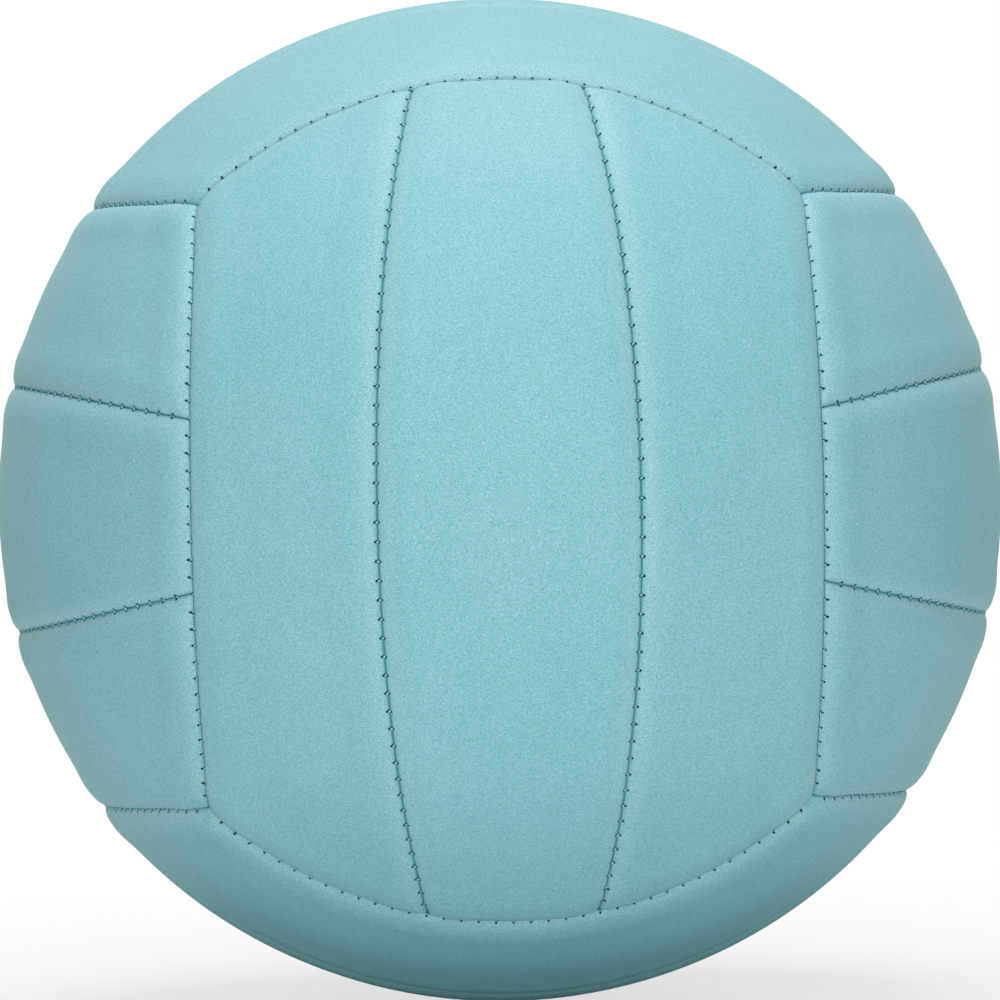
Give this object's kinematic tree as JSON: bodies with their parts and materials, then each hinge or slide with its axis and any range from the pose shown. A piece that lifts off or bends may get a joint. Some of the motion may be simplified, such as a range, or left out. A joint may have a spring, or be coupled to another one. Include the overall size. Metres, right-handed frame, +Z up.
{
  "type": "volleyball",
  "caption": "Sewn volleyball of padded strips in groups around a bladder, with a needle valve whose core pulls out.",
  "frame": {"origin": "centre of the ball", "axes": "-Y through the middle of the front group of strips, +Y out of the needle valve, +Z up along the front group's strips"},
  "size_m": [0.21, 0.2099, 0.21],
  "materials": {
    "cover_leather": "matte",
    "backing_sponge": "matte",
    "lining_cloth": "matte",
    "sewing_thread": "satin",
    "bladder_rubber": "satin",
    "patch_cloth": "matte",
    "valve_rubber": "matte",
    "core_rubber": "matte"
  },
  "bodies": {
    "ball": {"front_left_cover": "cover_leather", "front_middle_cover": "cover_leather", "front_right_cover": "cover_leather", "back_right_cover": "cover_leather", "back_middle_cover": "cover_leather", "back_left_cover": "cover_leather", "left_lower_cover": "cover_leather", "left_middle_cover": "cover_leather", "left_upper_cover": "cover_leather", "right_lower_cover": "cover_leather", "right_middle_cover": "cover_leather", "right_upper_cover": "cover_leather", "bottom_front_cover": "cover_leather", "bottom_middle_cover": "cover_leather", "bottom_rear_cover": "cover_leather", "top_front_cover": "cover_leather", "top_middle_cover": "cover_leather", "top_rear_cover": "cover_leather", "front_left_sponge": "backing_sponge", "front_middle_sponge": "backing_sponge", "front_right_sponge": "backing_sponge", "back_right_sponge": "backing_sponge", "back_middle_sponge": "backing_sponge", "back_left_sponge": "backing_sponge", "left_lower_sponge": "backing_sponge", "left_middle_sponge": "backing_sponge", "left_upper_sponge": "backing_sponge", "right_lower_sponge": "backing_sponge", "right_middle_sponge": "backing_sponge", "right_upper_sponge": "backing_sponge", "bottom_front_sponge": "backing_sponge", "bottom_middle_sponge": "backing_sponge", "bottom_rear_sponge": "backing_sponge", "top_front_sponge": "backing_sponge", "top_middle_sponge": "backing_sponge", "top_rear_sponge": "backing_sponge", "front_left_lining": "lining_cloth", "front_middle_lining": "lining_cloth", "front_right_lining": "lining_cloth", "back_right_lining": "lining_cloth", "back_middle_lining": "lining_cloth", "back_left_lining": "lining_cloth", "left_lower_lining": "lining_cloth", "left_middle_lining": "lining_cloth", "left_upper_lining": "lining_cloth", "right_lower_lining": "lining_cloth", "right_middle_lining": "lining_cloth", "right_upper_lining": "lining_cloth", "bottom_front_lining": "lining_cloth", "bottom_middle_lining": "lining_cloth", "bottom_rear_lining": "lining_cloth", "top_front_lining": "lining_cloth", "top_middle_lining": "lining_cloth", "top_rear_lining": "lining_cloth", "strip_seam_threads": "sewing_thread", "group_seam_threads": "sewing_thread", "bladder": "bladder_rubber", "valve_patch": "patch_cloth", "valve_housing": "valve_rubber"},
    "valve_core": {"valve_core": "core_rubber"}
  },
  "joints": [
    {"name": "valve_core_slide", "type": "slide", "parent": "ball", "child": "valve_core", "axis": [0, 1, 0], "range_m": [0, 0.025]}
  ]
}
